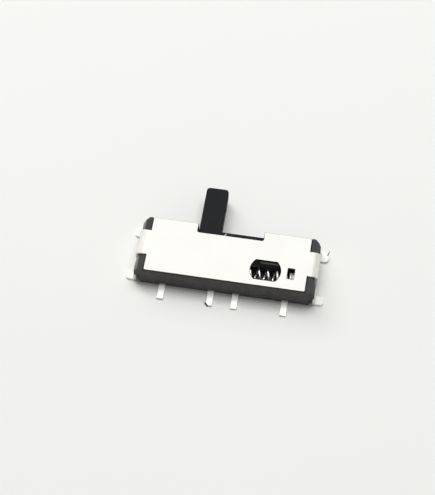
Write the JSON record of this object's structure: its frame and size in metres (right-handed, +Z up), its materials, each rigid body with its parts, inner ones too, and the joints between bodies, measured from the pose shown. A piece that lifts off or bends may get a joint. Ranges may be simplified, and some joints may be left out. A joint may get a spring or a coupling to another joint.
{
  "type": "surface-mount slide switch",
  "caption": "Low surface-mount slide switch with a side handle that a coil spring returns, under a folded metal cover with solder feet.",
  "frame": {"origin": "on the solder plane, under the middle of the cover plate", "axes": "+X along the switch and along the slider's stroke from rest, +Y from the terminals to the handle, +Z up from the board"},
  "size_m": [0.012, 0.0077, 0.0017],
  "materials": {
    "housing_plastic": "matte moulded black",
    "slider_plastic": "smooth moulded black",
    "plated_sheet": "satin plated",
    "silvered_terminal": "silver plated",
    "spring_wire": "bright drawn wire",
    "contact_bronze": "bright spring bronze"
  },
  "bodies": {
    "housing": {"housing_base": "housing_plastic", "shield_cover": "plated_sheet", "return_spring": "spring_wire", "terminal_1": "silvered_terminal", "terminal_2": "silvered_terminal", "terminal_3": "silvered_terminal", "terminal_4": "silvered_terminal"},
    "slide": {"slider": "slider_plastic", "wiper_contact": "contact_bronze"}
  },
  "joints": [
    {"name": "slider_travel", "type": "slide", "parent": "housing", "child": "slide", "axis": [1, 0, 0], "range_m": [0, 0.0026], "stiffness_N_per_m": 192, "springref_m": -0.0031, "deforming": ["return_spring"]}
  ]
}
